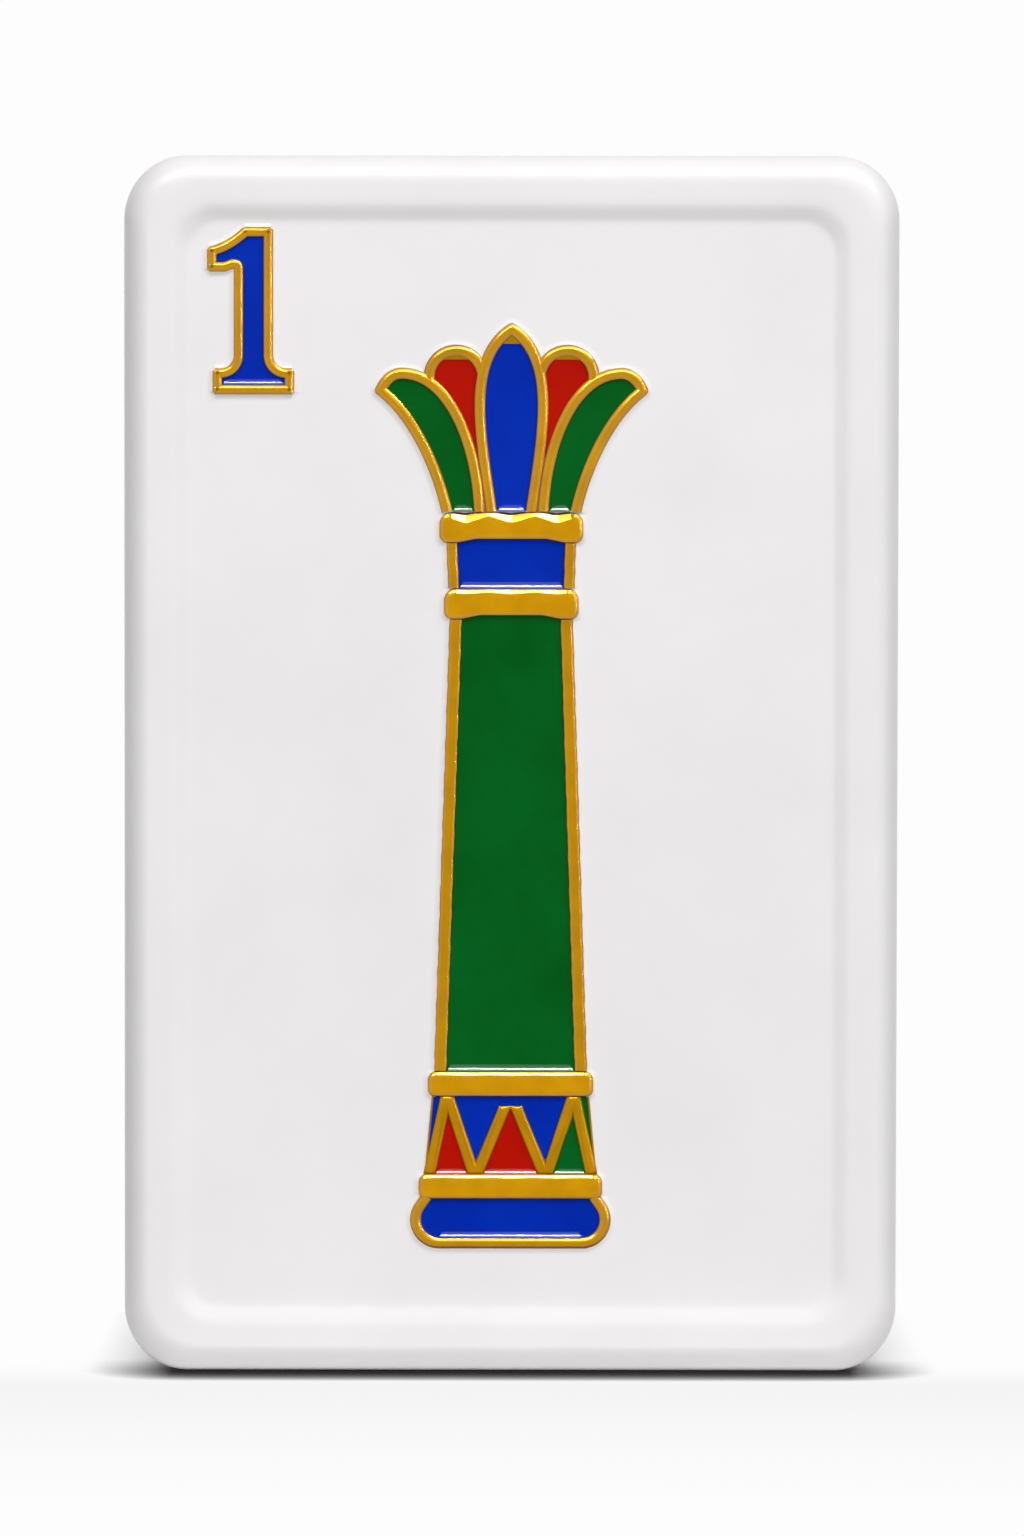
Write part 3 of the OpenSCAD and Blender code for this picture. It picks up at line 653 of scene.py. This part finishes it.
def enamel_finish(name, colours):
    """One colour of enamel twice over: as it is ground in the middle of a cell, and as it stays in a pool."""
    ground = finished(
        name, colours, patch_mm=2.2, bump_mm=1.5, bump_depth_mm=0.002, Roughness=0.12, IOR=1.5, Specular_IOR_Level=0.03)
    glassy = finished(
        name + "_pool", colours, patch_mm=2.2, bump_mm=0.8, bump_depth_mm=0.001, Roughness=0.1, IOR=1.65)
    return ground, glassy


# Fired enamel: a deep flat colour with a soft cloudiness, ground to a quiet gloss and glassy where it pools.
enamels = {
    "blue_enamel": enamel_finish("cobalt_blue_enamel", ("#0027a8", "#002eb4")),
    "green_enamel": enamel_finish("copper_green_enamel", ("#005816", "#01621e")),
    "red_enamel": enamel_finish("iron_red_enamel", ("#af0e00", "#bb1200"))}
enamel_rise = 0.17
enamel_facets = np.array([0.02, 0.03, 0.04, 0.05]), np.array([-25, -15, -8, -3])
pool_facets = np.array([0.05, 0.05, 0.05, 0.04, 0.03]), np.array([1.5, 0, -1.5, -12, -23])
pool_slope = 29
pool_level_z = 28
pool_lean = 0.7
tuck = 0.01


def pool(left, right, z, size=1.0):
    """A fillet along the foot of a cell, from left to right: across it the height falls by facets to the enamel's
    level, and its two ends lean in. The lower a cell, the more flux has run down to it, and the steeper its fillet."""
    steep = pool_slope + slope_per_mm * (pool_level_z - z)
    widths = size * pool_facets[0]
    across = np.concatenate([[0, 0], np.cumsum(widths)])[:, None]
    drop = np.concatenate([[0], -np.cumsum(widths * np.tan(np.radians(steep + pool_facets[1])))])
    height = np.concatenate([[-0.1], enamel_rise + drop - drop[-1] + 0.002])[:, None]
    u = np.linspace(0, 1, 20)
    x = left + (right - left) * u + pool_lean * across * (1 - 2 * u)
    return shell(from_panel(np.stack([x, z + across + 0 * x], -1), height + 0 * x), rows_meet=True, columns_meet=False,
                 caps=["first column", "last column"])


def add_enamel(name, outlines, slot, pools=()):
    """One cell's filling: its outlines, tucked a little under the strips round it, and the pools along its foot."""
    ground, glassy = enamels[slot]
    add_piece(name, [pillow(outline, *enamel_facets, enamel_rise) for outline in outlines], ground, slot, name)
    if pools:
        add_piece(name + "_pool", [pool(*place) for place in pools], glassy, slot, name)


def spaced(path, step):
    """Points at even distances along a closed outline."""
    loop = np.concatenate([path, path[:1]])
    along = np.concatenate([[0], np.cumsum(np.hypot(*np.diff(loop, axis=0).T))])
    at = np.linspace(0, along[-1], int(along[-1] / step), endpoint=False)
    return np.stack([np.interp(at, along, loop[:, 0]), np.interp(at, along, loop[:, 1])], -1)


inside = petal_w / 2 - tuck
middle_pool = np.array([-0.46, 0.46])
green_pool = np.array([1.24, 1.93])
red_foot = capital_z + 1.7
middle_cell = offset_rows(middle_path, [inside])[0]
middle_cell = middle_cell[middle_cell[:, 1] < web_z + tuck]
add_enamel("middle_petal_enamel", [spaced(middle_cell, 0.05)], "blue_enamel", [(*middle_pool, capital_z - tuck)])
outer_cell = offset_rows(outer_path, [inside])[0]
red_r = inner_r - inside
red_sides = []
for path, shift in ((outer_path[::-1], inside), (middle_side, -inside)):
    path = offset_rows(path, [shift])[0]
    within = np.flatnonzero(np.hypot(*(path - inner_at).T) < red_r)
    side_path = path[:within.max() + 1]
    red_sides.append(side_path[side_path[:, 1] > red_foot])
ends = [np.degrees(np.arctan2(*(side_path[-1] - inner_at)[::-1])) for side_path in red_sides]
red_cell = np.concatenate([red_sides[0], arc_points(inner_at, red_r, *ends, 40), red_sides[1][::-1]])
for side, hand in (("left", -1), ("right", 1)):
    order = slice(None, None, hand)
    add_enamel(
        f"outer_petal_enamel_{side}", [(spaced(outer_cell, 0.05) * [hand, 1])[order]], "green_enamel",
        [(*np.sort(hand * green_pool), capital_z - tuck)])
    add_enamel(f"inner_petal_enamel_{side}", [(spaced(red_cell, 0.05) * [hand, 1])[order]], "red_enamel")


def field(foot_w, head_w, low, high, hollow):
    """Anticlockwise outline of a field with straight slanting sides. It rises into the hollow of the band above it,
    which is given by its width and depth."""
    top = high + hollow[1]
    return np.array([
        [-foot_w / 2, low], [foot_w / 2, low], [head_w / 2, high], [hollow[0] / 2, top], [-hollow[0] / 2, top],
        [-head_w / 2, high]])


neck_low = mm_box("lower_neck_band")[1][2]
neck_high = mm_box("upper_neck_band")[0][2]
neck_cell = field(3.48, 3.58, neck_low, neck_high, hollow=(2.3, 0.14))
neck_pool = np.array([-1.72, 1.72])
add_enamel("neck_enamel", [spaced(neck_cell, 0.06)], "blue_enamel", [(*neck_pool, neck_low - tuck)])
shaft_low = mm_box("upper_base_band")[1][2]
shaft_high = mm_box("lower_neck_band")[0][2]
shaft_cell = field(4.26, 3.28, shaft_low, shaft_high, hollow=(2.0, 0.14))
shaft_pool = np.array([-2.1, 2.1])
add_enamel("shaft_enamel", [spaced(shaft_cell, 0.06)], "green_enamel", [(*shaft_pool, shaft_low - tuck)])


def cut_field(lines):
    """Corners where lines meet in turn. Each line is a point and a direction, and each corner solves for both."""
    corners = []
    for (p, u), (q, v) in zip(lines, lines[1:] + lines[:1]):
        t = np.linalg.solve(np.stack([u, -np.asarray(v)], 1), np.subtract(q, p))
        corners.append(np.add(p, np.multiply(u, t[0])))
    return np.array(corners)


def beside(a, b, shift):
    """The line from a to b, moved to its left."""
    along = np.subtract(b, a) / np.hypot(*np.subtract(b, a))
    return np.add(a, shift * np.array([-along[1], along[0]])), along


half_bar = zigzag_w / 2 - tuck
floor_line = ([0, zigzag_z], [1, 0])
roof_line = ([0, zigzag_top], [1, 0])
far_valley = np.multiply(valley, [-1, 1])
side_cell = cut_field([floor_line, beside(outer_foot, side_peak, half_bar), beside(side_peak, valley, half_bar)])
peak_cell = cut_field([floor_line, beside(valley, middle_peak, half_bar), beside(middle_peak, far_valley, half_bar)])
valley_cell = cut_field([beside(valley, side_peak, half_bar), roof_line, beside(middle_peak, valley, half_bar)])
triangle_pool_size = 0.75
side_pool = np.sort(side_cell[:, 0][np.argsort(side_cell[:, 1])[:2]])
for side, hand, slot in (("left", -1, "red_enamel"), ("right", 1, "green_enamel")):
    add_enamel(
        f"triangle_enamel_{side}", [(spaced(side_cell, 0.05) * [hand, 1])[::hand]], slot,
        [(*np.sort(hand * side_pool), zigzag_z - tuck, triangle_pool_size)])
peak_pool = np.sort(peak_cell[:, 0][np.argsort(peak_cell[:, 1])[:2]])
add_enamel(
    "triangle_enamel_middle", [spaced(peak_cell, 0.05)], "red_enamel",
    [(*peak_pool, zigzag_z - tuck, triangle_pool_size)])
bridge_x = 0.6
bridge_z = zigzag_top - peak_cut
bridge = np.array([[-bridge_x, bridge_z], [bridge_x, bridge_z], [bridge_x, zigzag_top], [-bridge_x, zigzag_top]])
add_enamel(
    "valley_enamel",
    [spaced(valley_cell, 0.05), mirrored(spaced(valley_cell, 0.05)), spaced(bridge, 0.05)], "blue_enamel")
edge_line = ([edge_foot_x - 0.03, zigzag_z], [edge_head_x - edge_foot_x, zigzag_top - zigzag_z])
corner_cell = cut_field([edge_line, roof_line, beside(side_peak, outer_foot, half_bar)])
for side, hand, slot in (("left", -1, "blue_enamel"), ("right", 1, "green_enamel")):
    add_enamel(f"corner_enamel_{side}", [(spaced(corner_cell, 0.04) * [hand, 1])[::hand]], slot)

plinth_cell = offset_rows(plinth_path, [plinth_rim_w / 2 - tuck])[0]
plinth_under = 0.1
plinth_cell = plinth_cell[plinth_cell[:, 1] < mm_box("lower_base_band")[0][2] + plinth_under]
plinth_pool = np.array([-2.35, 2.35])
low_pool_size = 0.8
add_enamel(
    "plinth_enamel", [spaced(plinth_cell, 0.05)], "blue_enamel",
    [(*plinth_pool, plinth_low[2] + plinth_rim_w - tuck, low_pool_size)])
# The figure's cell reaches further under its strip, so that its outline doesn't cross itself at the corners.
numeral_tuck = 4 * tuck
numeral_cell = offset_rows(figure, [numeral_strip_w - numeral_tuck], True)[0]
numeral_foot = numeral_low[[0, 2]] + [flag_x, numeral_strip_w - tuck]
numeral_pool = (numeral_foot[0] - serif + numeral_strip_w, numeral_foot[0] + serif - numeral_strip_w)
add_enamel(
    "numeral_enamel", [spaced(numeral_cell, 0.04)], "blue_enamel", [(*numeral_pool, numeral_foot[1], low_pool_size)])


# Studio
# A white floor that fades into a white surround, and the camera at the height of the tile's upper half. A large soft
# lamp stands in front and another behind, a thin strip lamp hangs above, and a thin upright one stands at the right.

floor_half = 2
floor_mesh = bpy.data.meshes.new("floor")
floor_mesh.from_pydata([
    (-floor_half, -floor_half, 0), (floor_half, -floor_half, 0), (floor_half, floor_half, 0),
    (-floor_half, floor_half, 0)], [], [(0, 1, 2, 3)])
floor = bpy.data.objects.new("floor", floor_mesh)
bpy.context.scene.collection.objects.link(floor)
# White paper: matt and even, so bright that it melts into the surround, and shaded only close to the tile.
paper = bpy.data.materials.new("white_paper")
paper.use_nodes = True
tree = paper.node_tree
tree.nodes.clear()
rays = add_node(tree, "ShaderNodeLightPath").outputs
seen = add_node(tree, "ShaderNodeMath", {0: rays["Is Camera Ray"], 1: rays["Is Glossy Ray"]}, operation="MAXIMUM")
seen = add_node(tree, "ShaderNodeMath", {0: seen.outputs[0], 1: rays["Is Transmission Ray"]}, operation="MAXIMUM")
# How far a place on the sheet lies outside the tile's foot. The foot ends short of the sides, where the corners are
# round, and sideways the distance counts for less, so that the shade there is softer.
corner_lift = 1.6
sideways_share = 0.28
place = add_node(tree, "ShaderNodeTexCoord").outputs["Object"]
spot = add_node(tree, "ShaderNodeVectorMath", {0: place}, operation="ABSOLUTE").outputs["Vector"]
foot_corner = ((half_w - corner_lift) / 1000, back_y / 1000, 0)
spot = add_node(tree, "ShaderNodeVectorMath", {0: spot, 1: foot_corner}, operation="SUBTRACT").outputs["Vector"]
spot = add_node(tree, "ShaderNodeVectorMath", {0: spot, 1: (0, 0, 0)}, operation="MAXIMUM").outputs["Vector"]
spot_scale = (sideways_share, 1, 1)
spot = add_node(tree, "ShaderNodeVectorMath", {0: spot, 1: spot_scale}, operation="MULTIPLY").outputs["Vector"]
distance = add_node(tree, "ShaderNodeVectorMath", {0: spot}, operation="LENGTH").outputs["Value"]
fade = add_node(tree, "ShaderNodeMapRange", {"Value": distance, "From Min": 0.0, "From Max": 0.0008}).outputs["Result"]
fade = add_node(tree, "ShaderNodeMath", {0: fade, 1: seen.outputs[0]}, operation="MULTIPLY").outputs[0]
# Close round the tile's foot the sheet is clean white and throws light up at it; further out it is grey.
card = add_node(tree, "ShaderNodeMapRange", {
    "Value": distance, "From Min": 0.0018, "From Max": 0.0006, "To Min": 0.37, "To Max": 0.76}).outputs["Result"]
card = add_node(tree, "ShaderNodeMix", {0: seen.outputs[0], 2: card, 3: 0.92}).outputs[0]
# Close to the tile's front foot the sheet darkens, because little light gets in there.
open_sky = add_node(tree, "ShaderNodeAmbientOcclusion", {"Distance": 0.0021}, samples=16).outputs["AO"]
open_sky = add_node(tree, "ShaderNodeMath", {0: open_sky, 1: 7.0}, operation="POWER").outputs[0]
front = add_node(tree, "ShaderNodeSeparateXYZ", {"Vector": place}).outputs["Y"]
front = add_node(tree, "ShaderNodeMapRange", {
    "Value": front, "From Min": -0.0045, "From Max": -0.0075, "To Max": 0.97}).outputs["Result"]
front = add_node(tree, "ShaderNodeMath", {0: front, 1: seen.outputs[0]}, operation="MULTIPLY").outputs[0]
past_side = add_node(tree, "ShaderNodeSeparateXYZ", {"Vector": spot}).outputs["X"]
past_side = add_node(tree, "ShaderNodeMapRange", {
    "Value": past_side, "From Min": 0.0, "From Max": 0.0008, "To Min": 1.0, "To Max": 0.1}).outputs["Result"]
front = add_node(tree, "ShaderNodeMath", {0: front, 1: past_side}, operation="MULTIPLY").outputs[0]
open_sky = add_node(tree, "ShaderNodeMix", {0: front, 2: 1.0, 3: open_sky}).outputs[0]
card = add_node(tree, "ShaderNodeMath", {0: card, 1: open_sky}, operation="MULTIPLY").outputs[0]
matt = add_node(tree, "ShaderNodeBsdfDiffuse", {"Color": card}).outputs["BSDF"]
# In front of the tile the sheet's white carries a painted shade. It is a little darker at first and clears towards the
# viewer.
depth = add_node(tree, "ShaderNodeSeparateXYZ", {"Vector": place}).outputs["Y"]
near = add_node(tree, "ShaderNodeMapRange", {
    "Value": depth, "From Min": -0.006, "From Max": -0.011, "To Min": 1.0, "To Max": 0.92}).outputs["Result"]
clear = add_node(tree, "ShaderNodeMapRange", {
    "Value": depth, "From Min": -0.011, "From Max": -0.035, "To Min": 0.0, "To Max": 0.08}).outputs["Result"]
near = add_node(tree, "ShaderNodeMath", {0: near, 1: clear}, operation="ADD").outputs[0]
near = add_node(tree, "ShaderNodeMath", {0: near, 1: open_sky}, operation="MULTIPLY").outputs[0]
bright = add_node(tree, "ShaderNodeEmission", {"Color": linear("#fdfdfd"), "Strength": near}).outputs["Emission"]
sheet = add_node(tree, "ShaderNodeMixShader", {0: fade, 1: matt, 2: bright}).outputs["Shader"]
add_node(tree, "ShaderNodeOutputMaterial", {"Surface": sheet})
floor_mesh.materials.append(paper)

world = bpy.data.worlds.new("surround")
bpy.context.scene.world = world
world.use_nodes = True
tree = world.node_tree
tree.nodes.clear()
rays = add_node(tree, "ShaderNodeLightPath").outputs
seen = add_node(tree, "ShaderNodeMath", {0: rays["Is Camera Ray"], 1: rays["Is Glossy Ray"]}, operation="MAXIMUM")
seen = add_node(tree, "ShaderNodeMath", {0: seen.outputs[0], 1: rays["Is Transmission Ray"]}, operation="MAXIMUM")
white = add_node(tree, "ShaderNodeBackground", {"Color": linear("#fdfdfd"), "Strength": 1.0}).outputs["Background"]
dim = add_node(tree, "ShaderNodeBackground", {"Color": (1, 1, 1, 1), "Strength": 0.1}).outputs["Background"]
both = add_node(tree, "ShaderNodeMixShader", {0: seen.outputs[0], 1: dim, 2: white}).outputs["Shader"]
add_node(tree, "ShaderNodeOutputWorld", {"Surface": both})


def add_lamp(name, place, aim, size, radiance, mirrored_in_gloss):
    """A rectangular lamp of an even radiance. Blender's power for it is four times radiance times area."""
    data = bpy.data.lights.new(name, "AREA")
    data.shape = "RECTANGLE"
    data.size, data.size_y = size
    data.energy = 4 * radiance * size[0] * size[1]
    lamp = bpy.data.objects.new(name, data)
    bpy.context.scene.collection.objects.link(lamp)
    lamp.visible_glossy = mirrored_in_gloss
    turn = (Vector(aim) - Vector(place)).to_track_quat("-Z", "Y")
    lamp.matrix_world = Matrix.Translation(place) @ turn.to_matrix().to_4x4()


tile_middle = (0, 0, 0.02)
add_lamp("front_lamp", (0.06, -1.45, 0.1), tile_middle, (1.2, 0.8), 3.65, False)
add_lamp("strip_lamp", (0.15, -0.69, 1.12), tile_middle, (2.4, 0.010), 165.0, True)
add_lamp("side_lamp", (1.04, -0.6, 0.1), tile_middle, (0.0025, 1.6), 130.0, True)
add_lamp("back_lamp", (-0.1, 1.45, 0.4), tile_middle, (1.2, 0.8), 3.0, False)

camera_data = bpy.data.cameras.new("camera")
camera_data.sensor_fit = "VERTICAL"
camera_data.sensor_height = 36
camera_data.lens = 143.4
camera_data.shift_x = 1.0 / 1536
camera_data.shift_y = -2.2 / 1536
camera = bpy.data.objects.new("camera", camera_data)
bpy.context.scene.collection.objects.link(camera)
camera_at = Vector((0, -0.2084, 0.027))
look = (Vector((0, -0.008, 0.02)) - camera_at).to_track_quat("-Z", "Y")
roll = Matrix.Rotation(np.radians(0.09), 4, "Z")
camera.matrix_world = Matrix.Translation(camera_at) @ look.to_matrix().to_4x4() @ roll
bpy.context.scene.camera = camera
bpy.context.scene.view_settings.view_transform = "Standard"
